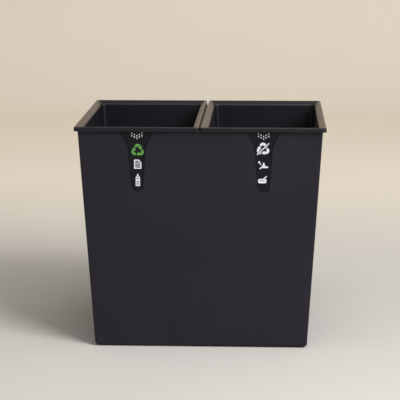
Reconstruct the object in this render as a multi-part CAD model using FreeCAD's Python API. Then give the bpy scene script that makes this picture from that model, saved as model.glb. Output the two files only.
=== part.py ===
import FreeCAD, Part
import math
import os

os.makedirs("parts", exist_ok=True)

# Double recycling bin: one drafted outer shell that carries two lift-out liners side by side.
# Millimetres.  +X is the user's right, +Y goes back, +Z is up.
# The origin is on the floor, under the middle of the bin.

# ---------------------------------------------------------------- driving dimensions
overall_width = 420.0
overall_depth = 353.0
overall_height = 385.0
draft_angle = 3.4

# Liner rims
rim_gap = 3.4
rim_corner_radius = 4.0
funnel_width = 10.2
funnel_drop = 5.6
lip_height = 7.4
rim_edge_radius = 0.9
throat_depth = 3.2

# Liner bodies
liner_wall = 1.8
liner_corner_radius = 9.0
liner_base_radius = 12.0
liner_floor_gap = 4.0
liner_base_rise = 2.5
liner_base_ledge = 14.0
gusset_thickness = 1.6
gusset_pitch = 40.0

# Outer shell
shell_wall = 3.0
rim_overhang = 5.8
shell_corner_radius = 3.2
shell_inner_corner_radius = 2.0
shell_base_radius = 6.0
shell_inner_base_radius = 3.0
shell_top_radius = 0.7
base_thickness = 3.0
base_recess = 4.0
base_ring_width = 16.0
base_rib_thickness = 2.4
base_rib_pitch = 62.0

# Grip and label recess in the shell's front wall, under each rim
recess_depth = 1.5
recess_bevel = 0.9
funnel_half_width = 27.9
strip_half_width = 14.3
strip_end_half_width = 9.2
funnel_length = 27.3
recess_length = 103.0
recess_bend_radius = 45.0
recess_end_flat = 0.4
recess_overrun = 2.0
label_thickness = 0.5
label_top_margin = 0.6

# Divider rail under the two inner rims
rail_thickness = 3.0
rail_web_thickness = 2.6
rail_web_height = 16.0
rail_keel_height = 3.0
rail_tongue_width = 10.0
rail_tongue_depth = 12.0
rail_tongue_length = 5.0
rail_keel_end_margin = 18.0
pocket_wall = 2.5
pocket_height = 24.0

# Feet
foot_radius = 10.0
foot_stand = 1.5
foot_socket_depth = 2.5
foot_chamfer = 0.6
foot_socket_wall = 2.4
foot_corner_distance = 30.0

# Rounded profiles are swept in this many steps
base_arc_steps = 5
edge_arc_steps = 4

# Clearances
seat_clearance = 0.3
liner_clearance = 0.8
label_clearance = 0.2
rail_clearance = 0.3
socket_clearance = 0.1

# How far pieces that are moulded in one run into each other
overlap = 0.4

# ---------------------------------------------------------------- derived sizes
draft = math.tan(math.radians(draft_angle))
shell_wall_across = shell_wall / math.cos(math.radians(draft_angle))
liner_wall_across = liner_wall / math.cos(math.radians(draft_angle))
liner_side_inset = rim_overhang + shell_wall_across + liner_clearance
rim_width = (overall_width - rim_gap) / 2
liner_offset = (rim_width + rim_gap) / 2
base_top = foot_stand + base_recess + base_thickness
liner_bottom = base_top + liner_floor_gap
funnel_slope = funnel_drop / (funnel_width - rim_edge_radius)
funnel_angle = math.atan(funnel_slope)
skin_below_funnel = liner_wall / math.cos(funnel_angle)
lip_bottom = overall_height - lip_height
rail_half_width = rim_gap / 2 + liner_side_inset - liner_clearance


def funnel_z(inset):
    """Height of the funnel's upper face at an inset from the rim's outline."""
    return overall_height - (inset - rim_edge_radius) * funnel_slope


# The shell ends just under whichever hangs lower over it, the lip or the funnel.
funnel_over_shell = funnel_z(rim_overhang + shell_wall_across) - skin_below_funnel
shell_top = min(lip_bottom, funnel_over_shell) - seat_clearance

shell_plan = (0.0, overall_width / 2, overall_depth / 2)
liner_plans = {"left": (-liner_offset, rim_width / 2, overall_depth / 2),
               "right": (liner_offset, rim_width / 2, overall_depth / 2)}


def vec(x, y, z):
    return FreeCAD.Vector(x, y, z)


def plan_ring(plan, inset, z, radius):
    """Closed rounded rectangle at height z, set in from the plan's outline."""
    centre_x, half_x, half_y = plan
    x = half_x - inset
    y = half_y - inset
    edges = []
    for turn in range(4):
        along, across = (x, y) if turn % 2 == 0 else (y, x)
        start = vec(-along + radius, -across, 0)
        end = vec(along - radius, -across, 0)
        middle = vec(along - radius * (1 - math.sin(math.pi / 4)),
                     -across + radius * (1 - math.cos(math.pi / 4)), 0)
        corner_end = vec(along, -across + radius, 0)
        side = Part.LineSegment(start, end).toShape()
        corner = Part.Arc(end, middle, corner_end).toShape()
        for edge in (side, corner):
            edge.rotate(vec(0, 0, 0), vec(0, 0, 1), 90 * turn)
            edges.append(edge)
    ring = Part.Wire(edges)
    ring.translate(vec(centre_x, 0, z))
    return ring


def arc_profile(inset, z, radius, start, end, steps):
    """(inset, z) pairs along an arc round a centre, angles in degrees from the outward side."""
    points = []
    for step in range(steps + 1):
        angle = math.radians(start + (end - start) * step / steps)
        points.append((inset - radius * math.cos(angle), z + radius * math.sin(angle)))
    return points


def side_face(edge, facing):
    """Flat face between two parallel straight edges that run the same way."""
    start, end = [vertex.Point for vertex in edge.Vertexes]
    far_start, far_end = [vertex.Point for vertex in facing.Vertexes]
    return Part.Face(Part.makePolygon([start, end, far_end, far_start, start]))


def moulded_skin(plan, profile):
    """Solid swept round a plan: each profile entry is (inset, z, corner radius), from the middle
    of the underside, out and round the rim, to the middle of the inside floor."""
    rings = [plan_ring(plan, inset, z, radius) for inset, z, radius in profile]
    faces = [Part.Face(rings[0]), Part.Face(rings[-1])]
    for lower, upper in zip(rings, rings[1:]):
        for index in range(0, len(lower.Edges), 2):
            faces.append(side_face(lower.Edges[index], upper.Edges[index]))
            faces.append(Part.makeRuledSurface(lower.Edges[index + 1], upper.Edges[index + 1]))
    skin = Part.makeShell(faces)
    skin.sewShape()
    solid = Part.Solid(skin)
    if solid.Volume < 0:
        solid.reverse()
    return solid


def box(low, high):
    size = [b - a for a, b in zip(low, high)]
    return Part.makeBox(size[0], size[1], size[2], vec(*low))


def save(name, shape):
    shape.exportStep("parts/%s.step" % name)


# ---------------------------------------------------------------- wall profiles
def shell_inset(z):
    """How far the shell's outer face lies inside the rims' outline at height z."""
    return rim_overhang + (shell_top - z) * draft


def liner_inset(z):
    """The same for the outer face of a liner's wall."""
    return liner_side_inset + (shell_top - z) * draft


def base_arc(inset_at, base_z, radius):
    """Rounding between a flat base and a drafted wall, as (inset, z) from the base outwards."""
    lean = math.radians(draft_angle)
    centre_z = base_z + radius
    centre_inset = inset_at(centre_z - radius * math.sin(lean)) + radius * math.cos(lean)
    return arc_profile(centre_inset, centre_z, radius, -90, -draft_angle, base_arc_steps)


def with_radius(points, radius):
    return [(inset, z, radius) for inset, z in points]


def shell_profile():
    ring_bottom = foot_stand
    panel_bottom = foot_stand + base_recess
    ring_inner = shell_inset(ring_bottom) + base_ring_width
    outer_base = base_arc(shell_inset, ring_bottom, shell_base_radius)

    def inner_face(z):
        return shell_inset(z) + shell_wall_across

    inner_base = base_arc(inner_face, base_top, shell_inner_base_radius)
    top_round = arc_profile(shell_inset(shell_top) + shell_top_radius, shell_top - shell_top_radius,
                            shell_top_radius, 0, 90, edge_arc_steps)
    profile = [(ring_inner, panel_bottom, shell_corner_radius),
               (ring_inner, ring_bottom, shell_corner_radius)]
    profile += with_radius(outer_base, shell_corner_radius)
    profile += with_radius(top_round, shell_corner_radius)
    profile += [(inner_face(shell_top), shell_top, shell_inner_corner_radius)]
    profile += with_radius(reversed(inner_base), shell_inner_corner_radius)
    return profile


def liner_profile():
    under_wall = funnel_z(liner_side_inset) - skin_below_funnel
    under_lip = funnel_z(liner_wall) - skin_below_funnel
    lip_inner_radius = rim_corner_radius - liner_wall / 2
    inner_corner_radius = liner_corner_radius - liner_wall
    floor = liner_bottom + liner_wall
    ramp_offset = liner_wall * (math.sqrt(2) - 1)
    wall_start = overall_height - funnel_drop - throat_depth

    def inner_face(z):
        return liner_inset(z) + liner_wall_across

    edge_round = arc_profile(rim_edge_radius, overall_height - rim_edge_radius, rim_edge_radius,
                             0, 90, edge_arc_steps)
    outer_base = base_arc(liner_inset, liner_bottom, liner_base_radius)
    inner_base = base_arc(inner_face, floor, liner_base_radius - liner_wall)
    ledge_end = outer_base[0][0] + liner_base_ledge
    rise_end = ledge_end + liner_base_rise
    base_ramp = [(rise_end, liner_bottom + liner_base_rise), (ledge_end, liner_bottom)]
    floor_ramp = [(ledge_end - ramp_offset, floor), (rise_end - ramp_offset, floor + liner_base_rise)]
    profile = with_radius(base_ramp + outer_base, liner_corner_radius)
    profile += [(liner_inset(under_wall), under_wall, liner_corner_radius),
                (liner_wall, under_lip, lip_inner_radius),
                (liner_wall, lip_bottom, lip_inner_radius),
                (0.0, lip_bottom, rim_corner_radius)]
    profile += with_radius(edge_round, rim_corner_radius)
    profile += [(funnel_width, overall_height - funnel_drop, inner_corner_radius),
                (inner_face(wall_start), wall_start, inner_corner_radius)]
    profile += with_radius(reversed(inner_base), inner_corner_radius)
    profile += with_radius(floor_ramp, inner_corner_radius)
    return profile


# ---------------------------------------------------------------- grip and label recess
def rounded_outline(corners):
    """Closed wire in the XZ plane through (x, z, radius) corners, each rounded by its radius."""
    count = len(corners)
    edges = []
    cuts = []
    for index in range(count):
        x, z, radius = corners[index]
        here = vec(x, 0, z)
        before = (vec(corners[index - 1][0], 0, corners[index - 1][1]) - here).normalize()
        after_corner = corners[(index + 1) % count]
        after = (vec(after_corner[0], 0, after_corner[1]) - here).normalize()
        half = before.getAngle(after) / 2
        setback = radius / math.tan(half)
        bisector = (before + after).normalize()
        middle = here + bisector * (radius / math.sin(half) - radius)
        cuts.append((here + before * setback, middle, here + after * setback, radius))
    for index in range(count):
        start, middle, end, radius = cuts[index]
        following = cuts[(index + 1) % count][0]
        if radius > 0:
            edges.append(Part.Arc(start, middle, end).toShape())
        edges.append(Part.LineSegment(end, following).toShape())
    return Part.Wire(edges)


def funnel_outline(grow, top):
    """Y-shaped outline: a funnel at the rim that narrows to a strip with a round end.
    z is measured down the face from the shell's top edge."""
    side_slope = (funnel_half_width - strip_half_width) / funnel_length
    strip_slope = (strip_half_width - strip_end_half_width) / (recess_length - funnel_length)
    side_grow = grow * math.hypot(1, side_slope)
    strip_grow = grow * math.hypot(1, strip_slope)
    bend_rise = (strip_grow - side_grow) / (side_slope - strip_slope)
    bend_x = strip_half_width + strip_grow + bend_rise * strip_slope
    end_x = strip_end_half_width + strip_grow - grow * strip_slope
    end_corner = math.pi / 2 + math.atan(strip_slope)
    end_radius = (end_x - recess_end_flat / 2) * math.tan(end_corner / 2)
    right = [(funnel_half_width + side_grow + top * side_slope, top, 0.0),
             (bend_x, -funnel_length + bend_rise, recess_bend_radius - grow),
             (end_x, -recess_length - grow, end_radius)]
    left = [(-x, z, radius) for x, z, radius in reversed(right)]
    return rounded_outline(right + left)


def on_front_face(shape, centre_x, depth):
    """Move a shape drawn about the XZ plane onto the drafted front face, set in by depth."""
    shape.translate(vec(0, depth, 0))
    shape.rotate(vec(0, 0, 0), vec(1, 0, 0), draft_angle)
    shape.translate(vec(centre_x, shell_inset(shell_top) - overall_depth / 2, shell_top))
    return shape


def recess_cutter(centre_x):
    """Tool for one recess.  Its bevel is carried on past the face, so that no skin is left there."""
    rise = recess_depth + overlap
    spread = recess_bevel * rise / recess_depth
    floor = on_front_face(funnel_outline(0.0, recess_overrun), centre_x, recess_depth)
    mouth = on_front_face(funnel_outline(spread, recess_overrun), centre_x, recess_depth - rise)
    return Part.makeLoft([floor, mouth], True, True)


def label(centre_x):
    """Thin strip that lies on the recess's floor, with a small gap all round."""
    outline = Part.Face(funnel_outline(-label_clearance, -label_top_margin))
    strip = outline.extrude(vec(0, -label_thickness, 0))
    return on_front_face(strip, centre_x, recess_depth)


# ---------------------------------------------------------------- outer shell
def foot_places():
    x = overall_width / 2 - shell_inset(foot_stand) - foot_corner_distance
    y = overall_depth / 2 - shell_inset(foot_stand) - foot_corner_distance
    return {"front_left": (-x, -y), "front_right": (x, -y), "back_left": (-x, y), "back_right": (x, y)}


def foot_boss(place):
    x, y = place
    outer = foot_radius + socket_clearance + foot_socket_wall
    return Part.makeCylinder(outer, base_recess + overlap, vec(x, y, foot_stand))


def foot_socket(place):
    x, y = place
    return Part.makeCylinder(foot_radius + socket_clearance, foot_socket_depth, vec(x, y, foot_stand))


def base_ribs():
    """Stiffening grid under the raised base panel, level with the standing ring."""
    half_x = overall_width / 2 - shell_inset(foot_stand) - base_ring_width + overlap
    half_y = overall_depth / 2 - shell_inset(foot_stand) - base_ring_width + overlap
    low = foot_stand
    high = foot_stand + base_recess + overlap
    half = base_rib_thickness / 2
    ribs = []
    for place in grid(half_x, base_rib_pitch):
        ribs.append(box((place - half, -half_y, low), (place + half, half_y, high)))
    for place in grid(half_y, base_rib_pitch):
        ribs.append(box((-half_x, place - half, low), (half_x, place + half, high)))
    return ribs


def grid(half_span, pitch):
    """Places at a pitch, centred on zero, that stay more than half a pitch inside the span."""
    count = int((half_span - pitch / 2) / pitch)
    return [index * pitch for index in range(-count, count + 1)]


def shell_inner_y(z):
    """Distance from the middle to the inner face of the front and back walls at height z."""
    return overall_depth / 2 - shell_inset(z) - shell_wall_across


def tongue_y():
    """Middle of a tongue, measured from the middle of the bin."""
    return shell_inner_y(shell_top) - rail_clearance - pocket_wall - rail_tongue_length / 2


def rail_pocket(turn):
    """Upright socket on the inside of the back wall (turn 0) or front wall (turn 180)."""
    half_slot_x = rail_tongue_width / 2 + rail_clearance
    half_slot_y = rail_tongue_length / 2 + rail_clearance
    top = shell_top - rail_thickness
    bottom = top - pocket_height
    slot_bottom = top - rail_tongue_depth - rail_clearance
    inner_y = tongue_y() - half_slot_y - pocket_wall
    root = shell_wall_across / 2
    left = -half_slot_x - pocket_wall
    side = Part.makePolygon([vec(left, inner_y, top), vec(left, shell_inner_y(top) + root, top),
                             vec(left, shell_inner_y(bottom) + root, bottom),
                             vec(left, inner_y, slot_bottom - pocket_wall), vec(left, inner_y, top)])
    block = Part.Face(side).extrude(vec(-2 * left, 0, 0))
    slot = box((-half_slot_x, tongue_y() - half_slot_y, slot_bottom),
               (half_slot_x, tongue_y() + half_slot_y, top + overlap))
    for shape in (block, slot):
        shape.rotate(vec(0, 0, 0), vec(0, 0, 1), turn)
    return block, slot


def outer_shell():
    """Drafted case with a raised, ribbed base, foot sockets, rail pockets and the two recesses."""
    shell = moulded_skin(shell_plan, shell_profile())
    additions = base_ribs()
    additions += [foot_boss(place) for place in foot_places().values()]
    slots = []
    for turn in (0, 180):
        block, slot = rail_pocket(turn)
        additions.append(block)
        slots.append(slot)
    shell = shell.fuse(additions).removeSplitter()
    cuts = slots + [foot_socket(place) for place in foot_places().values()]
    cuts += [recess_cutter(plan[0]) for plan in liner_plans.values()]
    return shell.cut(cuts)


# ---------------------------------------------------------------- liners
def rim_gussets(plan):
    """Short upright ribs between the lip and the wall, whose lower edges sit on the shell's top.
    The middle of the front and back is left free for the fingers."""
    centre_x, half_x, half_y = plan
    bottom = shell_top + seat_clearance
    inner = liner_side_inset + overlap
    outer = liner_wall - overlap
    top_outer = funnel_z(outer) - skin_below_funnel + overlap
    top_inner = funnel_z(inner) - skin_below_funnel + overlap
    profile = Part.makePolygon([vec(outer, 0, bottom), vec(inner, 0, bottom), vec(inner, 0, top_inner),
                                vec(outer, 0, top_outer), vec(outer, 0, bottom)])
    rib = Part.Face(profile).extrude(vec(0, gusset_thickness, 0))
    rib.translate(vec(0, -gusset_thickness / 2, 0))
    gussets = []
    for turn in range(4):
        front_or_back = turn % 2 == 1
        reach, span = (half_y, half_x) if front_or_back else (half_x, half_y)
        for place in grid(span - liner_corner_radius, gusset_pitch):
            if front_or_back and place == 0:
                continue
            copy = rib.copy()
            copy.translate(vec(-reach, place, 0))
            copy.rotate(vec(0, 0, 0), vec(0, 0, 1), 90 * turn)
            copy.translate(vec(centre_x, 0, 0))
            gussets.append(copy)
    return gussets


def liner(plan):
    """Lift-out bucket that hangs by its funnel rim, with a lip turned down outside the shell."""
    body = moulded_skin(plan, liner_profile())
    return body.fuse(rim_gussets(plan))


# ---------------------------------------------------------------- divider rail and feet
def divider_rail():
    """Cross rail from front to back: the two inner lips rest on its plate, on either side of a low
    keel, and a tongue under each end drops into its pocket."""
    end_y = shell_inner_y(shell_top) - rail_clearance
    plate_bottom = shell_top - rail_thickness
    plate = box((-rail_half_width, -end_y, plate_bottom), (rail_half_width, end_y, shell_top))
    web_y = tongue_y() - rail_tongue_length / 2 - pocket_wall - 2 * rail_clearance
    half_web = rail_web_thickness / 2
    web = box((-half_web, -web_y, plate_bottom - rail_web_height), (half_web, web_y, plate_bottom))
    keel_half = rim_gap / 2 - rail_clearance
    keel_y = end_y - rail_keel_end_margin
    keel = box((-keel_half, -keel_y, shell_top), (keel_half, keel_y, shell_top + rail_keel_height))
    tongues = []
    for sign in (-1, 1):
        middle = sign * tongue_y()
        half_length = rail_tongue_length / 2
        half_width = rail_tongue_width / 2
        tongues.append(box((-half_width, middle - half_length, plate_bottom - rail_tongue_depth),
                           (half_width, middle + half_length, plate_bottom)))
    return plate.fuse([web, keel] + tongues).removeSplitter()


def foot(place):
    """Round rubber pad pressed into its socket, with a chamfered lower edge."""
    x, y = place
    top = foot_stand + foot_socket_depth
    outline = Part.makePolygon([vec(0, 0, 0), vec(foot_radius - foot_chamfer, 0, 0),
                                vec(foot_radius, 0, foot_chamfer), vec(foot_radius, 0, top),
                                vec(0, 0, top), vec(0, 0, 0)])
    pad = Part.Face(outline).revolve(vec(0, 0, 0), vec(0, 0, 1), 360)
    pad.translate(vec(x, y, 0))
    return pad


# ---------------------------------------------------------------- output
save("outer_shell", outer_shell())
save("divider_rail", divider_rail())
for name, plan in liner_plans.items():
    save("liner_" + name, liner(plan))
    save("label_" + name, label(plan[0]))
for name, place in foot_places().items():
    save("foot_" + name, foot(place))
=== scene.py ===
import math

import bmesh
import bpy
from mathutils import Matrix, Vector


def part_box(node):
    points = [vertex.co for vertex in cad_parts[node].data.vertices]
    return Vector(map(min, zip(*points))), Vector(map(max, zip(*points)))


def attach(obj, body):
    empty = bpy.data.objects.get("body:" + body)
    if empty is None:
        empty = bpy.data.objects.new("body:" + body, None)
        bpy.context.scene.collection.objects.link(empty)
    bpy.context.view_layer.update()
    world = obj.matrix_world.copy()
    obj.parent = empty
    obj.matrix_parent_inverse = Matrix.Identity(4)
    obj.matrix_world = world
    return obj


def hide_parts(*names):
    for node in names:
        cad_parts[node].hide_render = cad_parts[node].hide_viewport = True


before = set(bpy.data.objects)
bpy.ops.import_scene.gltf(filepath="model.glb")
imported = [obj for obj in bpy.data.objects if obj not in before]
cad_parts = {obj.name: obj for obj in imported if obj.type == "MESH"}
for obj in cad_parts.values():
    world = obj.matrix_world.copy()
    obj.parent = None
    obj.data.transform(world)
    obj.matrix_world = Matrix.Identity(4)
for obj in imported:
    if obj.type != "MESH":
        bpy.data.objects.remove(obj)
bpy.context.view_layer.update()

# ---------------------------------------------------------------- camera
# The bin is seen from in front and a little to its right, by someone standing almost three metres off.
# Place, turn and lens were fitted to the corners of the rims and of the base in the photograph.
camera_place = (0.1170, -2.7502, 0.7636)
camera_turn = math.radians(2.593)
camera_tilt = math.radians(90 - 10.995)
camera_roll = math.radians(-0.093)

bpy.ops.object.camera_add(location=camera_place)
camera = bpy.context.object
aim = Matrix.Rotation(camera_turn, 3, "Z") @ Matrix.Rotation(camera_tilt, 3, "X")
camera.rotation_euler = (aim @ Matrix.Rotation(camera_roll, 3, "Z")).to_euler()
camera.data.lens = 141.5
camera.data.sensor_width = 36
bpy.context.scene.camera = camera
bpy.context.scene.view_settings.view_transform = "Standard"

# ---------------------------------------------------------------- floor, backdrop and lamps
# A pale floor sweeps up into a warm pale backdrop, well behind the bin.  A broad soft lamp stands to the
# front right and throws a faint shadow to the back left.  Two weak ones fill from the left and from above.
floor_half = 6.0
backdrop_y = 3.4
backdrop_height = 4.0
backdrop_sweep = 0.7
edge_margin = 0.1
glow_begins, glow_full = 0.2, 1.6
warm_begins, warm_full = 0.6, 1.1
bin_middle = Vector((0, 0, 0.2))


class Shade:
    """One value in a material's nodes.  + - and * on it add Math nodes, and node() adds any other."""

    def __init__(self, tree, socket=None):
        self.tree = tree
        self.socket = socket

    def feed(self, node, inputs):
        """Sets a node's inputs, each to a number, a colour or another value."""
        for key, value in inputs.items():
            if isinstance(value, Shade):
                self.tree.links.new(value.socket, node.inputs[key])
            else:
                node.inputs[key].default_value = value

    def node(self, kind, settings, inputs, output=0):
        """Adds a node of a kind, with its settings and its inputs, and gives one of its outputs."""
        made = self.tree.nodes.new("ShaderNode" + kind)
        for name, value in settings.items():
            setattr(made, name, value)
        self.feed(made, inputs)
        return Shade(self.tree, made.outputs[output])

    def math(self, operation, first, second):
        return self.node("Math", {"operation": operation}, {0: first, 1: second})

    def __add__(self, other):
        return self.math("ADD", self, other)

    def __sub__(self, other):
        return self.math("SUBTRACT", self, other)

    def __rsub__(self, other):
        return self.math("SUBTRACT", other, self)

    def __mul__(self, other):
        return self.math("MULTIPLY", self, other)

    __radd__ = __add__
    __rmul__ = __mul__

    def noise(self, scale, detail=2.0, rough=0.5):
        """Cloudy pattern at this place, from 0 to 1, with so many clouds to the metre."""
        return self.node("TexNoise", {}, {"Vector": self, "Scale": scale, "Detail": detail,
                                          "Roughness": rough})

    def stretched(self, x, y, z):
        """This place with its axes scaled, for patterns that run one way."""
        return self.node("Mapping", {}, {"Vector": self, "Scale": (x, y, z)})

    def axis(self, name):
        return self.node("SeparateXYZ", {}, {"Vector": self}, name)

    def step(self, low, high):
        """0 below low, 1 above high, and smooth between them."""
        return self.node("MapRange", {"interpolation_type": "SMOOTHSTEP"},
                         {"Value": self, "From Min": low, "From Max": high})

    def mix(self, low, high):
        """The colour between two colours that this value picks."""
        return self.node("Mix", {"data_type": "RGBA"}, {0: self, 6: low, 7: high}, 2)


def start_material(name):
    """A new material, its main shader, and the place on the piece in the piece's own coordinates."""
    material = bpy.data.materials.new(name)
    material.use_nodes = True
    tree = material.node_tree
    surface = tree.nodes["Principled BSDF"]
    return material, surface, Shade(tree).node("TexCoord", {}, {}, "Object")


def deselect():
    bpy.ops.object.select_all(action="DESELECT")


def select_parts(piece, kind, test):
    """In edit mode, selects only the parts of a kind, EDGE or FACE, that pass the test."""
    bpy.ops.mesh.select_mode(type=kind)
    bpy.ops.mesh.select_all(action="DESELECT")
    mesh = bmesh.from_edit_mesh(piece.data)
    for part in {"EDGE": mesh.edges, "FACE": mesh.faces}[kind]:
        if test(part):
            part.select_set(True)
    mesh.select_flush_mode()
    bmesh.update_edit_mesh(piece.data)


def studio_paint(name, low, high, glow, high_glow):
    """Matt paint.  Behind the bin it shows brighter to the camera and in reflections, and warmer high
    up.  This glow lights nothing."""
    material, surface, place = start_material(name)
    tone = place.noise(1.3, 3.0)
    seen, mirrored = [place.node("LightPath", {}, {}, ray) for ray in ("Is Camera Ray", "Is Glossy Ray")]
    shown = place.math("MINIMUM", seen + mirrored, 1)
    behind = place.axis("Y").step(glow_begins, glow_full) * shown
    warm = place.axis("Z").step(warm_begins, warm_full).mix(glow, high_glow)
    place.feed(surface, {"Base Color": tone.mix(low, high), "Roughness": 0.75 + 0.1 * place.noise(60.0),
                         "Emission Color": behind.mix((0, 0, 0, 1), warm), "Emission Strength": 1.0})
    return material


deselect()
bpy.ops.mesh.primitive_plane_add(size=2 * floor_half, location=(0, backdrop_y - floor_half, 0))
sweep = bpy.context.object
sweep.name = "studio_floor"
bpy.ops.object.transform_apply(location=True)
bpy.ops.object.mode_set(mode="EDIT")
select_parts(sweep, "EDGE", lambda e: all(v.co.y > backdrop_y - edge_margin for v in e.verts))
bpy.ops.mesh.extrude_region_move(TRANSFORM_OT_translate={"value": (0, 0, backdrop_height)})
select_parts(sweep, "EDGE", lambda e: all(v.co.y > backdrop_y - edge_margin and v.co.z < edge_margin
                                          for v in e.verts))
bpy.ops.mesh.bevel(offset=backdrop_sweep, segments=24)
bpy.ops.object.mode_set(mode="OBJECT")
bpy.ops.object.shade_smooth()
sweep.data.materials.append(studio_paint("studio_floor", (0.54, 0.525, 0.50, 1), (0.61, 0.59, 0.56, 1),
                                         (0.32, 0.26, 0.18, 1), (0.76, 0.55, 0.35, 1)))


def soft_lamp(name, place, width, watts):
    """Square area lamp that faces the middle of the bin."""
    aim = (bin_middle - Vector(place)).to_track_quat("-Z", "Y").to_euler()
    bpy.ops.object.light_add(type="AREA", location=place, rotation=aim)
    lamp = bpy.context.object
    lamp.name = name
    lamp.data.size = width
    lamp.data.energy = watts


soft_lamp("lamp_front_right", (1.9, -2.0, 2.2), 1.6, 120)
soft_lamp("lamp_left", (-2.4, -1.2, 1.8), 2.0, 4)
soft_lamp("lamp_overhead", (0.3, -0.7, 2.6), 1.6, 20)
air = bpy.data.worlds.new("studio_air")
air.use_nodes = True
air.node_tree.nodes["Background"].inputs["Color"].default_value = (0.80, 0.76, 0.70, 1)
air.node_tree.nodes["Background"].inputs["Strength"].default_value = 0.38
bpy.context.scene.world = air

# ---------------------------------------------------------------- outer shell
# The case that carries both liners: one injection moulding in black polypropylene with a fine matt
# texture, drafted to leave the mould.  Its base is recessed inside a standing ring and ribbed below.
mm = 0.001
corner_steps = 8
fillet_steps = 6
smooth_below = math.radians(35)
draft_angle = math.radians(3.4)
draft = math.tan(draft_angle)

shell_low, shell_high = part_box("outer_shell")
shell_top = shell_high.z
shell_foot = shell_low.z
shell_wall = 3.0 * mm / math.cos(draft_angle)
shell_corner = 3.2 * mm
shell_inner_corner = 2.0 * mm
base_ring = 16.0 * mm
base_panel = shell_foot + 4.0 * mm
base_floor = base_panel + 3.0 * mm
ring_round = 0.5 * mm
base_edge_round = 6.0 * mm
top_round = 0.7 * mm
top_inner_round = 0.5 * mm
floor_round = 3.0 * mm
merge = 0.4 * mm
level_drop = 0.02 * mm
near = 0.01 * mm
same_point = 0.001 * mm


def rounded(profile):
    """Each (inset, height, fillet, corner) of a wall's profile, with its fillets turned into arcs.
    Two rings at one height have no direction to be bridged in, so the second goes a hair lower."""
    rings = []

    def add(inset, height, corner):
        if rings and abs(rings[-1][1] - height) < level_drop:
            height -= level_drop
        rings.append((inset, height, corner))

    for index, (inset, height, fillet, corner) in enumerate(profile):
        here = Vector((inset, height))
        if fillet == 0:
            add(inset, height, corner)
            continue
        before = (Vector(profile[index - 1][:2]) - here).normalized()
        after = (Vector(profile[index + 1][:2]) - here).normalized()
        half = before.angle(after) / 2
        centre = here + (before + after).normalized() * fillet / math.sin(half)
        first = here + before * fillet / math.tan(half) - centre
        last = here + after * fillet / math.tan(half) - centre
        for step in range(fillet_steps + 1):
            share = step / fillet_steps
            point = centre + (first * (1 - share) + last * share).normalized() * fillet
            add(point.x, point.y, corner)
    return rings


def loft(name, centre_x, half_x, half_y, profile):
    """A moulded skin.  Each ring is a plane with bevelled corners, bridged to the ring before it;
    the first and the last keep their faces and close the skin."""
    rings = rounded(profile)
    deselect()
    for index, (inset, height, corner) in enumerate(rings):
        middle = (centre_x, 0, height)
        bpy.ops.mesh.primitive_plane_add(size=2, location=middle)
        if index == 0:
            bpy.ops.object.mode_set(mode="EDIT")
            bpy.ops.mesh.select_mode(type="VERT")
        bpy.ops.transform.resize(value=(half_x - inset, half_y - inset, 1), center_override=middle)
        bpy.ops.mesh.bevel(offset=corner, affect="VERTICES", segments=corner_steps)
        if index > 0:
            bpy.ops.mesh.delete(type="ONLY_FACE")
            bpy.ops.mesh.select_non_manifold()
            bpy.ops.mesh.bridge_edge_loops()
    bpy.ops.mesh.select_non_manifold(extend=False)
    bpy.ops.mesh.edge_face_add()
    piece = bpy.context.object
    piece.name = piece.data.name = name
    settle(piece)
    return piece


def settle(piece):
    """Back to object mode with doubles merged, normals outward and the place kept in the mesh."""
    bpy.ops.mesh.select_all(action="SELECT")
    bpy.ops.mesh.remove_doubles(threshold=same_point)
    bpy.ops.mesh.normals_make_consistent(inside=False)
    bpy.ops.object.mode_set(mode="OBJECT")
    bpy.ops.object.transform_apply(location=True, rotation=True, scale=True)


def block(name, low, high):
    """A box between two corners, left in edit mode with all of it selected."""
    deselect()
    middle = (Vector(low) + Vector(high)) / 2
    bpy.ops.mesh.primitive_cube_add(size=1, location=middle)
    bpy.ops.object.transform_apply(location=True)
    bpy.ops.object.mode_set(mode="EDIT")
    bpy.ops.transform.resize(value=Vector(high) - Vector(low), center_override=middle)
    piece = bpy.context.object
    piece.name = piece.data.name = name
    return piece


def join(pieces):
    """Makes one object of several pieces, under the name of the first."""
    deselect()
    for piece in pieces:
        piece.select_set(True)
    bpy.context.view_layer.objects.active = pieces[0]
    bpy.ops.object.join()
    return pieces[0]


def combine(piece, operation, tools):
    """Fuses the tools with the piece, or cuts them out of it."""
    tool = join(tools)
    deselect()
    piece.select_set(True)
    bpy.context.view_layer.objects.active = piece
    bpy.ops.object.modifier_add(type="BOOLEAN")
    modifier = piece.modifiers[-1]
    modifier.operation = operation
    modifier.solver = "EXACT"
    modifier.use_self = True
    modifier.object = tool
    bpy.ops.object.modifier_apply(modifier=modifier.name)
    bpy.data.objects.remove(tool)


def dress(piece, body, slot, material, *nodes):
    """Shading and finish that every finished piece gets. It is hung under its body's empty, and the CAD
    parts it stands for are hidden.
    """
    deselect()
    piece.select_set(True)
    bpy.context.view_layer.objects.active = piece
    bpy.ops.object.shade_smooth_by_angle(angle=smooth_below)
    bpy.ops.object.modifier_add(type="WEIGHTED_NORMAL")
    piece.modifiers[-1].keep_sharp = True
    bpy.ops.object.modifier_apply(modifier=piece.modifiers[-1].name)
    piece.data.materials.clear()
    piece.data.materials.append(material)
    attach(piece, body)
    if nodes:
        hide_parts(*nodes)


def shell_inset(height):
    """How far the drafted wall has come in at a height, from its outline at the top."""
    return (shell_top - height) * draft


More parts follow.
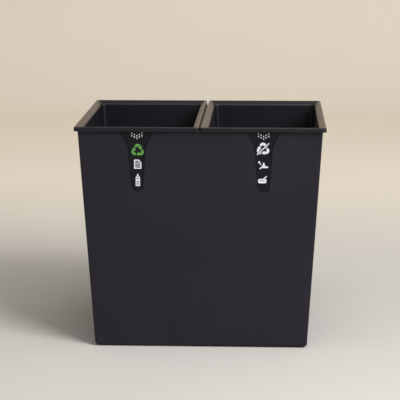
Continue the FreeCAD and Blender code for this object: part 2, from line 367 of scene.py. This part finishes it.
shell_profile = [
    (shell_inset(shell_foot) + base_ring, base_panel, 0, shell_corner),
    (shell_inset(shell_foot) + base_ring, shell_foot, ring_round, shell_corner),
    (shell_inset(shell_foot), shell_foot, base_edge_round, shell_corner),
    (0, shell_top, top_round, shell_corner),
    (shell_wall, shell_top, top_inner_round, shell_inner_corner),
    (shell_inset(base_floor) + shell_wall, base_floor, floor_round, shell_inner_corner),
    (shell_inset(base_floor) + shell_wall + base_ring, base_floor, 0, shell_inner_corner)]
shell = loft("shell_case", 0, shell_high.x, shell_high.y, shell_profile)

# Y-shaped recess under each rim, a grip and the place of the label: a funnel that narrows to a
# strip with a round end, 1.5 mm deep with sloped sides
recess_depth = 1.5 * mm
recess_slope = 0.9 * mm
funnel_half = 27.9 * mm
strip_half = 14.3 * mm
strip_end_half = 9.2 * mm
funnel_length = 27.3 * mm
recess_length = 103.0 * mm
recess_overrun = 3.0 * mm
recess_stand = 0.4 * mm
bend_setback = 9.0 * mm
edge_round = 0.35 * mm
mouth_angle = math.radians(15)
liner_names = ("left", "right")
label_boxes = {side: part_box("label_" + side) for side in liner_names}
label_middle = {side: (low.x + high.x) / 2 for side, (low, high) in label_boxes.items()}


def widen(piece, height, factor):
    """Scales the cross edges at a height sideways."""
    select_parts(piece, "EDGE", lambda e: all(abs(v.co.y - height) < near for v in e.verts))
    bpy.ops.transform.resize(value=(factor, 1, 1), center_override=(0, 0, 0))


def on_front(piece, middle_x):
    """Stands a piece drawn flat at the origin up against the drafted front face, under its top edge."""
    piece.rotation_euler.x = math.pi / 2 + draft_angle
    piece.location = (middle_x, -shell_high.y, shell_top)
    bpy.ops.object.transform_apply(location=True, rotation=True, scale=True)


def recess_tool(middle_x):
    """Drawn at its mouth, in front of the face, and stepped in to its floor by an inset."""
    rise = recess_depth + recess_stand
    grow = recess_slope * rise / recess_depth
    side_slope = (funnel_half - strip_half) / funnel_length
    piece = block("recess_tool", (-strip_half - grow, -funnel_length, recess_stand),
                  (strip_half + grow, recess_overrun, 2 * recess_stand))
    widen(piece, recess_overrun, 1 + (side_slope * (funnel_length + recess_overrun)) / (strip_half + grow))
    select_parts(piece, "FACE", lambda f: f.normal.y < -0.9)
    bpy.ops.mesh.extrude_region_move(
        TRANSFORM_OT_translate={"value": (0, funnel_length - recess_length - grow, 0)})
    widen(piece, -recess_length - grow, (strip_end_half + grow) / (strip_half + grow))
    bpy.ops.mesh.select_all(action="SELECT")
    bpy.ops.mesh.dissolve_limited(angle_limit=math.radians(1))
    for height, setback in ((-funnel_length, bend_setback), (-recess_length - grow, strip_end_half)):
        select_parts(piece, "EDGE", lambda e: all(abs(v.co.y - height) < near for v in e.verts)
                     and abs(e.verts[0].co.x - e.verts[1].co.x) < near)
        bpy.ops.mesh.bevel(offset=setback, segments=12)
    select_parts(piece, "FACE", lambda f: f.normal.z < -0.9)
    bpy.ops.mesh.inset(thickness=grow, depth=rise)
    settle(piece)
    on_front(piece, middle_x)
    return piece


def behind_face(point):
    """How far a point lies behind the drafted front face."""
    return (point.y + shell_high.y - shell_inset(point.z)) * math.cos(draft_angle)


def at_mouth(edge):
    """Whether an edge is the sharp one between the front face and a recess's sloped side."""
    on_face = all(abs(behind_face(v.co)) < 2 * near for v in edge.verts)
    below_top = all(v.co.z < shell_top - 2 * edge_round for v in edge.verts)
    faces_front = min(face.normal.y for face in edge.link_faces) < -0.99
    return on_face and below_top and faces_front and edge.calc_face_angle() > mouth_angle


combine(shell, "DIFFERENCE", [recess_tool(x) for x in label_middle.values()])
bpy.ops.object.mode_set(mode="EDIT")
select_parts(shell, "EDGE", at_mouth)
bpy.ops.mesh.bevel(offset=edge_round, segments=3, clamp_overlap=True)
settle(shell)

# Moulded with the case: a grid of ribs under the raised base panel, a boss with a socket for each
# foot, and inside the front and back walls an upright pocket for each tongue of the divider rail
rib_half = 1.2 * mm
rib_pitch = 62.0 * mm
foot_names = ("front_left", "front_right", "back_left", "back_right")
foot_boxes = {name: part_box("foot_" + name) for name in foot_names}
foot_radius = (foot_boxes["front_left"][1].x - foot_boxes["front_left"][0].x) / 2
socket_radius = foot_radius + 0.1 * mm
socket_rim = 2.4 * mm
socket_depth = 2.5 * mm
tongue_half_x = 5.0 * mm
tongue_half_y = 2.5 * mm
tongue_length = 12.0 * mm
rail_plate = 3.0 * mm
rail_gap = 0.3 * mm
pocket_wall = 2.5 * mm
pocket_height = 24.0 * mm
tongue_y = shell_high.y - shell_wall - rail_gap - pocket_wall - tongue_half_y


def bar(name, low, high):
    piece = block(name, low, high)
    settle(piece)
    return piece


def disc(name, place, radius, low, high):
    """Round pad between two heights, left in edit mode."""
    deselect()
    bpy.ops.mesh.primitive_cylinder_add(vertices=64, radius=radius, depth=high - low,
                                        location=(place[0], place[1], (low + high) / 2))
    bpy.ops.object.transform_apply(location=True)
    bpy.ops.object.mode_set(mode="EDIT")
    piece = bpy.context.object
    piece.name = piece.data.name = name
    return piece


def foot_middle(name):
    low, high = foot_boxes[name]
    return (low + high) / 2


def foot_disc(name, radius, low, high):
    piece = disc(name, foot_middle(name), radius, low, high)
    settle(piece)
    return piece


def base_ribs():
    ring_edge = shell_inset(shell_foot) + base_ring - merge
    span_x = shell_high.x - ring_edge
    span_y = shell_high.y - ring_edge
    low, high = shell_foot, base_panel + merge
    ribs = []
    for column in range(-2, 3):
        x = column * rib_pitch
        ribs.append(bar("rib", (x - rib_half, -span_y, low), (x + rib_half, span_y, high)))
    for row in range(-1, 2):
        y = row * rib_pitch
        ribs.append(bar("rib", (-span_x, y - rib_half, low), (span_x, y + rib_half, high)))
    return ribs


def rail_pocket(turn):
    """Upright socket with a sloped underside, rooted in the drafted wall, and the slot in it."""
    top = shell_top - rail_plate
    slot_bottom = top - tongue_length - rail_gap
    slot_x = tongue_half_x + rail_gap
    slot_y = tongue_half_y + rail_gap
    root = shell_high.y - shell_wall / 2
    pocket = block("pocket", (-slot_x - pocket_wall, tongue_y - slot_y - pocket_wall, top - pocket_height),
                   (slot_x + pocket_wall, root, top))
    select_parts(pocket, "EDGE", lambda e: all(v.co.z < top - merge and v.co.y > tongue_y for v in e.verts))
    bpy.ops.transform.translate(value=(0, -pocket_height * draft, 0))
    select_parts(pocket, "EDGE", lambda e: all(v.co.z < top - merge and v.co.y < tongue_y for v in e.verts))
    bpy.ops.transform.translate(value=(0, 0, slot_bottom - pocket_wall - top + pocket_height))
    settle(pocket)
    slot = bar("slot", (-slot_x, tongue_y - slot_y, slot_bottom), (slot_x, tongue_y + slot_y, top + merge))
    for piece in (pocket, slot):
        deselect()
        piece.select_set(True)
        bpy.context.view_layer.objects.active = piece
        piece.rotation_euler.z = turn
        bpy.ops.object.transform_apply(rotation=True)
    return pocket, slot


pockets, slots = zip(*[rail_pocket(turn) for turn in (0, math.pi)])
bosses = []
sockets = []
for name in foot_names:
    bosses.append(foot_disc(name, socket_radius + socket_rim, shell_foot, base_panel + merge))
    sockets.append(foot_disc(name, socket_radius, shell_foot - merge, shell_foot + socket_depth))
combine(shell, "UNION", base_ribs() + bosses + list(pockets))
combine(shell, "DIFFERENCE", list(slots) + sockets)

# Finish of the case, and with other tones and gloss of the rail and the liners
grain_depth = 0.12 * mm
dust_height = 30.0 * mm


def black_plastic(name, dark, light, gloss, texture, shine):
    """Black polypropylene: soft clouds of tone, faint upright flow marks, a fine moulded grain, a few
    faint scuffs and, low down, a little dust."""
    material, surface, place = start_material(name)
    clouds = place.noise(7.0, 3.0)
    flow = place.stretched(1, 1, 0.06).noise(55.0, 2.0)
    grain = place.noise(1300.0, 2.0, 0.6)
    scratches = place.stretched(0.1, 1, 1).noise(420.0, 3.0).step(0.60, 0.72)
    scuffs = scratches * place.noise(14.0).step(0.5, 0.7)
    near_floor = (dust_height - place.axis("Z")).step(0.0, dust_height)
    dust = near_floor * place.noise(90.0, 4.0).step(0.35, 0.75)
    tone = (0.55 * clouds + 0.25 * flow + 0.35 * grain + 0.12 * scuffs + 0.25 * dust).step(0.35, 0.85)
    rough = gloss + 0.10 * (clouds - 0.5) + 0.10 * (grain - 0.5) - 0.08 * scuffs + 0.15 * dust
    bump = place.node("Bump", {}, {"Height": grain, "Strength": texture, "Distance": grain_depth})
    place.feed(surface, {"Base Color": tone.mix(dark, light), "Roughness": rough, "Normal": bump,
                         "Specular IOR Level": shine})
    return material


shell_plastic = black_plastic("shell_plastic", (0.0105, 0.0094, 0.0155, 1), (0.0155, 0.0138, 0.0212, 1),
                              0.55, 0.5, 0.22)
dress(shell, "shell", "shell_plastic", shell_plastic, "outer_shell")

# ---------------------------------------------------------------- feet
# Four round pads of black rubber, pushed into the sockets in the base.  A ring-shaped groove is moulded
# in the underside, and the lower edge is rounded.
foot_round = 0.6 * mm
foot_land = 1.8 * mm
groove_slope = 0.3 * mm
groove_depth = 0.5 * mm
groove_width = 1.6 * mm
pore_depth = 0.08 * mm


def rubber(name):
    """Matt black rubber: dull, slightly brown, with fine pores and a little dust."""
    material, surface, place = start_material(name)
    pores = place.noise(2600.0, 2.0)
    dust = place.noise(160.0, 3.0).step(0.45, 0.8)
    bump = place.node("Bump", {}, {"Height": pores, "Strength": 0.5, "Distance": pore_depth})
    place.feed(surface, {"Base Color": dust.mix((0.010, 0.0095, 0.009, 1), (0.030, 0.028, 0.026, 1)),
                         "Roughness": 0.78 + 0.12 * pores, "Normal": bump})
    return material


foot_rubber = rubber("foot_rubber")
for name in foot_names:
    low, high = foot_boxes[name]
    foot = disc(name + "_foot", foot_middle(name), foot_radius, low.z, high.z)
    select_parts(foot, "EDGE", lambda e: all(v.co.z < low.z + merge for v in e.verts))
    bpy.ops.mesh.bevel(offset=foot_round, segments=4)
    select_parts(foot, "FACE", lambda f: f.normal.z < -0.99)
    bpy.ops.mesh.inset(thickness=foot_land)
    bpy.ops.mesh.inset(thickness=groove_slope, depth=-groove_depth)
    bpy.ops.mesh.inset(thickness=groove_width)
    bpy.ops.mesh.inset(thickness=groove_slope, depth=groove_depth)
    settle(foot)
    dress(foot, "shell", "foot_rubber", foot_rubber, "foot_" + name)

# ---------------------------------------------------------------- divider rail
# A moulded cross bar in black plastic, from the front wall to the back.  The two inner rims rest on its
# plate, on either side of a low keel.  A web stiffens it below, and a tongue at each end holds it.
rail_low, rail_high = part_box("divider_rail")
plate_low = shell_top - rail_plate
web_half = 1.3 * mm
web_height = 16.0 * mm
keel_end = 18.0 * mm
rail_round = 0.3 * mm
keel_half = (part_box("liner_right")[0].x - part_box("liner_left")[1].x) / 2 - rail_gap
keel_y = rail_high.y - keel_end
web_y = tongue_y - tongue_half_y - pocket_wall - 2 * rail_gap

rail = bar("cross_rail", (rail_low.x, rail_low.y, plate_low), (rail_high.x, rail_high.y, shell_top))
web = bar("web", (-web_half, -web_y, plate_low - web_height), (web_half, web_y, plate_low + merge))
keel = bar("keel", (-keel_half, -keel_y, shell_top - merge), (keel_half, keel_y, rail_high.z))
rail_parts = [web, keel]
for middle in (-tongue_y, tongue_y):
    rail_parts.append(bar("tongue", (-tongue_half_x, middle - tongue_half_y, plate_low - tongue_length),
                          (tongue_half_x, middle + tongue_half_y, plate_low + merge)))
combine(rail, "UNION", rail_parts)
bpy.ops.object.mode_set(mode="EDIT")
select_parts(rail, "EDGE", lambda e: len(e.link_faces) == 2 and e.calc_face_angle() > smooth_below)
bpy.ops.mesh.bevel(offset=rail_round, segments=3)
settle(rail)
rail_plastic = black_plastic("rail_plastic", (0.0080, 0.0078, 0.0082, 1), (0.0120, 0.0116, 0.0122, 1),
                             0.5, 0.4, 0.25)
dress(rail, "shell", "rail_plastic", rail_plastic, "divider_rail")

# ---------------------------------------------------------------- liners
# Two lift-out buckets in the same black plastic, smoother and a little glossier.  Each hangs by a
# funnel-shaped rim that slopes in to its mouth and turns down outside the shell as a short lip.
liner_wall = 1.8 * mm
liner_lip = 7.4 * mm
funnel_width = 10.2 * mm
funnel_drop = 5.6 * mm
liner_corner = 9.0 * mm
rim_corner = 4.0 * mm
liner_clearance = 0.8 * mm
rim_round = 2.4 * mm
rim_land = 3.2 * mm
land_round = 1.2 * mm
throat_round = 4.5 * mm
lip_round = 0.5 * mm
lip_inner_round = 0.4 * mm
hollow_round = 0.6 * mm
neck_round = 1.2 * mm
base_round = 12.0 * mm
base_rise = 2.5 * mm
base_ledge = 26.0 * mm
step_round = 1.5 * mm
step_inset = 0.7 * mm
funnel_slope = funnel_drop / (funnel_width - rim_land)


def liner_profile(low, high):
    """Profile of a liner from the middle of its underside, round the rim and down to its floor."""
    top = high.z
    bottom = low.z
    overhang = high.y - shell_high.y
    side = overhang + shell_wall + liner_clearance
    thick = liner_wall / math.cos(draft_angle)
    skin = liner_wall * math.hypot(1, funnel_slope)
    floor = bottom + liner_wall

    def outer(height):
        return side + (shell_top - height) * draft

    def funnel(inset):
        return top - (inset - rim_land) * funnel_slope

    inner_corner = liner_corner - liner_wall
    lip_corner = rim_corner - liner_wall / 2
    throat = side + thick
    step = outer(bottom) + base_ledge
    return [
        (step + base_rise, bottom + base_rise, 0, liner_corner),
        (step, bottom, step_round, liner_corner),
        (outer(bottom), bottom, base_round, liner_corner),
        (outer(funnel(side) - skin), funnel(side) - skin, neck_round, liner_corner),
        (liner_wall, funnel(liner_wall) - skin, hollow_round, lip_corner),
        (liner_wall, top - liner_lip, lip_inner_round, lip_corner),
        (0, top - liner_lip, lip_round, rim_corner),
        (0, top, rim_round, rim_corner),
        (rim_land, top, land_round, rim_corner),
        (throat, funnel(throat), throat_round, inner_corner),
        (outer(floor) + thick, floor, base_round - liner_wall, inner_corner),
        (step - step_inset, floor, step_round, inner_corner),
        (step + base_rise - step_inset, floor + base_rise, step_round, inner_corner),
        (step + 2 * base_rise, floor + base_rise, 0, inner_corner)]


liner_plastic = black_plastic("liner_plastic", (0.0042, 0.0038, 0.0068, 1), (0.0062, 0.0056, 0.0098, 1),
                              0.39, 0.25, 0.36)
gusset_half = 0.8 * mm
gusset_pitch = 40.0 * mm


def rim_gussets(middle_x, half_x, half_y, top):
    """Thin upright ribs under the funnel, from lip to wall, that sit on the shell's top edge.  The
    middle of the front and back is left free for the fingers."""
    outer = liner_wall - merge
    inner = half_y - shell_high.y + shell_wall + liner_clearance + merge
    skin = liner_wall * math.hypot(1, funnel_slope) - merge
    high = top - (outer - rim_land) * funnel_slope - skin
    gussets = []
    for turn in range(4):
        across = turn % 2 == 1
        reach, span = (half_y, half_x) if across else (half_x, half_y)
        count = int((span - liner_corner - gusset_pitch / 2) / gusset_pitch)
        for step in range(-count, count + 1):
            if across and step == 0:
                continue
            y = step * gusset_pitch
            rib = block("gusset", (outer - reach, y - gusset_half, top - liner_lip),
                        (inner - reach, y + gusset_half, high))
            select_parts(rib, "EDGE", lambda e: all(v.co.z > high - merge and v.co.x > outer - reach + merge
                                                    for v in e.verts))
            bpy.ops.transform.translate(value=(0, 0, -(inner - outer) * funnel_slope))
            settle(rib)
            rib.rotation_euler.z = turn * math.pi / 2
            rib.location.x = middle_x
            bpy.ops.object.transform_apply(location=True, rotation=True)
            gussets.append(rib)
    return gussets


for side in liner_names:
    low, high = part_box("liner_" + side)
    middle_x, half_x = (low.x + high.x) / 2, (high.x - low.x) / 2
    liner = loft(side + "_liner_bucket", middle_x, half_x, high.y, liner_profile(low, high))
    combine(liner, "UNION", rim_gussets(middle_x, half_x, high.y, high.z))
    dress(liner, side + "_liner", "liner_plastic", liner_plastic, "liner_" + side)

# ---------------------------------------------------------------- labels
# A thin black film lies in each recess.  Its symbols are printed in white and green ink: a dotted
# chevron, a loop of three arrows, struck through on the right, and what each liner takes.
film_thickness = 0.5 * mm
film_ripple = 0.2 * mm
symbol_lift = 0.02 * mm
ink_depth = 0.06 * mm


def film(name):
    """Smooth black film, glossier than the moulding round it, with a faint unevenness of the glue."""
    material, surface, place = start_material(name)
    ripple = place.noise(90.0, 2.0)
    fleck = place.noise(900.0, 2.0)
    bump = place.node("Bump", {}, {"Height": ripple, "Strength": 0.25, "Distance": film_ripple})
    tone = fleck.step(0.4, 0.75).mix((0.0030, 0.0030, 0.0058, 1), (0.0056, 0.0056, 0.0090, 1))
    place.feed(surface, {"Base Color": tone, "Roughness": 0.42 + 0.12 * ripple, "Normal": bump,
                         "Specular IOR Level": 0.2})
    return material


def ink(name, thin, full):
    """Screen-printed ink, a little thinner here and there, so that the black shows through it."""
    material, surface, place = start_material(name)
    cover = place.noise(700.0, 3.0).step(0.3, 0.55)
    place.feed(surface, {"Base Color": cover.mix(thin, full),
                         "Roughness": 0.42 + 0.1 * place.noise(1500.0)})
    return material


label_film = film("label_film")
for side in liner_names:
    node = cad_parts["label_" + side]
    node.data.materials.clear()
    node.data.materials.append(label_film)
white_ink = ink("white_ink", (0.54, 0.54, 0.62, 1), (0.72, 0.72, 0.82, 1))
green_ink = ink("green_ink", (0.070, 0.215, 0.032, 1), (0.100, 0.295, 0.048, 1))


def arc(x, y, radius, start, end, steps=10):
    """Points in mm along an arc, angles in degrees."""
    angles = [math.radians(start + (end - start) * step / steps) for step in range(steps + 1)]
    return [(x + radius * math.cos(a), y + radius * math.sin(a)) for a in angles]


def oblong(x, y, half_x, half_y):
    """Corners in mm of a rectangle round a middle point."""
    return [(x - half_x, y - half_y), (x + half_x, y - half_y),
            (x + half_x, y + half_y), (x - half_x, y + half_y)]


def turned(points, angle):
    """The points, turned about the origin by degrees."""
    swing = Matrix.Rotation(math.radians(angle), 2)
    return [tuple(swing @ Vector(point)) for point in points]


def printed(name, outlines):
    """A flat shape of ink inside outlines in mm, where an outline in another makes a hole."""
    curve = bpy.data.curves.new(name, "CURVE")
    curve.dimensions = "2D"
    curve.fill_mode = "BOTH"
    curve.extrude = ink_depth / 2
    for outline in outlines:
        spline = curve.splines.new("POLY")
        spline.points.add(len(outline) - 1)
        for point, (x, y) in zip(spline.points, outline):
            point.co = (x * mm, y * mm, 0, 1)
        spline.use_cyclic_u = True
    piece = bpy.data.objects.new(name, curve)
    bpy.context.collection.objects.link(piece)
    deselect()
    piece.select_set(True)
    bpy.context.view_layer.objects.active = piece
    bpy.ops.object.convert(target="MESH")
    bpy.ops.object.mode_set(mode="EDIT")
    settle(piece)
    return piece


def on_label(piece, side, right, down, material):
    """Sets a print on a label, so far right of its middle and below the shell's top edge, in mm."""
    bpy.context.view_layer.objects.active = piece
    film_depth = recess_depth - film_thickness
    piece.location = (right * mm, -down * mm, ink_depth / 2 + symbol_lift - film_depth)
    deselect()
    piece.select_set(True)
    bpy.ops.object.transform_apply(location=True)
    on_front(piece, label_middle[side])
    dress(piece, "shell", "label_film", material)


def dotted_chevron():
    """A V of dots, two to each column."""
    dots = []
    for column in range(-2, 3):
        for rise in (0.0, 4.2):
            dots.append(arc(column * 4.3, abs(column) * 2.1 - 4.2 + rise, 1.15, 0, 330, 11))
    return dots


def arrow_loop():
    """Three bent arrows that chase each other round a triangle with rounded corners."""
    reach, bend, half, head = 12.4, 3.4, 2.1, 3.7
    side_middle = reach * math.sqrt(3) / 2
    tail, neck, tip = side_middle - 2.9, side_middle - 2.2, side_middle + 2.2

    def beside(way, along, out):
        """Point along the left (-1) or right (1) side from the top corner, moved outwards."""
        turn = math.radians(30)
        return (way * (along * math.sin(turn) + out * math.cos(turn)),
                reach - along * math.cos(turn) + out * math.sin(turn))

    arrow = [beside(-1, tail, -half), beside(-1, tail, half)]
    arrow += arc(0, reach - 2 * bend, bend + half, 150, 30, 12)
    arrow += [beside(1, neck, half), beside(1, neck, head), beside(1, tip, 0.0), beside(1, neck, -head)]
    arrow += [beside(1, neck, -half)] + arc(0, reach - 2 * bend, bend - half, 30, 150, 6)
    return [turned(arrow, third * 120) for third in range(3)]


def page():
    """A sheet of paper with a cut corner and lines of text."""
    edge = arc(-5.1, -6.9, 1.0, 180, 270, 4) + arc(5.1, -6.9, 1.0, 270, 360, 4)
    edge += [(6.1, 3.2), (2.0, 7.9)] + arc(-5.1, 6.9, 1.0, 90, 180, 4)
    lines = [oblong(0, y, 4.2, 0.85) for y in (-5.2, -2.7, -0.2, 2.3)]
    return [edge] + lines + [oblong(-1.3, 4.8, 2.9, 0.85)]


def bottle():
    """A ribbed drinks bottle with its cap."""
    right = [(1.4, 9.0), (1.4, 7.6)] + arc(-0.1, 3.4, 3.8, 62, 0, 5)
    right += [(3.7, 0.6), (3.2, -0.2), (3.7, -1.0)] + arc(2.4, -9.0, 1.3, 0, -90, 4)
    left = [(-x, y) for x, y in reversed(right)]
    bands = [oblong(0, y, 2.4, 0.6) for y in (2.6, -2.8, -5.2, -7.6)]
    return [oblong(0, 10.0, 1.5, 0.5), oblong(0, 5.4, 1.5, 0.6), right + left] + bands


def scraps():
    """A crumpled wrapper with sharp folds, and a stick with a round head."""
    wrapper = [(-7.4, -4.9), (-6.2, -5.8), (-3.2, -3.6), (6.4, -3.8), (8.3, -3.4), (6.2, -0.7), (2.9, -0.9),
               (0.5, 5.7), (-0.4, 5.7), (-2.2, 0.0), (-4.0, -1.8)]
    stick = [(x - 5.3, y + 2.9) for x, y in turned(oblong(0, 0, 1.8, 0.7), -55)]
    return [wrapper, stick, arc(-7.4, 6.2, 1.9, 0, 330, 11)]


def tub():
    """A food tub with its lid on, and a straw."""
    body = arc(-4.5, -1.3, 2.4, 180, 270, 5) + arc(4.5, -1.3, 2.4, 270, 360, 5)
    body += arc(4.9, 1.8, 2.0, 0, 90, 5) + arc(-4.5, 1.4, 2.4, 90, 180, 5)
    straw = [(1.2, 4.1), (4.0, 4.1), (8.0, 7.9), (6.9, 9.0)]
    return [body, turned(oblong(0, 0.6, 4.6, 0.5), -3), straw]


def strike(name, half_length, half_width):
    """The slanting bar that strikes the right loop through, or the gap on both sides of it."""
    return printed(name, [turned(oblong(0, 0, half_length, half_width), 44)])


on_label(printed("left_chevron", dotted_chevron()), "left", 1.0, 7.7, white_ink)
on_label(printed("right_chevron", dotted_chevron()), "right", 0.0, 7.6, white_ink)
on_label(printed("left_arrow_loop", arrow_loop()), "left", 1.9, 32.4, green_ink)
on_label(printed("paper_symbol", page()), "left", 1.7, 56.1, white_ink)
on_label(printed("bottle_symbol", bottle()), "left", 1.6, 83.4, white_ink)
struck_loop = printed("right_arrow_loop", arrow_loop())
combine(struck_loop, "DIFFERENCE", [strike("strike_gap", 16.0, 1.7)])
struck_loop = join([struck_loop, strike("strike_bar", 14.0, 0.85)])
on_label(struck_loop, "right", -0.8, 29.2, white_ink)
on_label(printed("scraps_symbol", scraps()), "right", 0.4, 57.8, white_ink)
on_label(printed("tub_symbol", tub()), "right", -1.8, 83.9, white_ink)
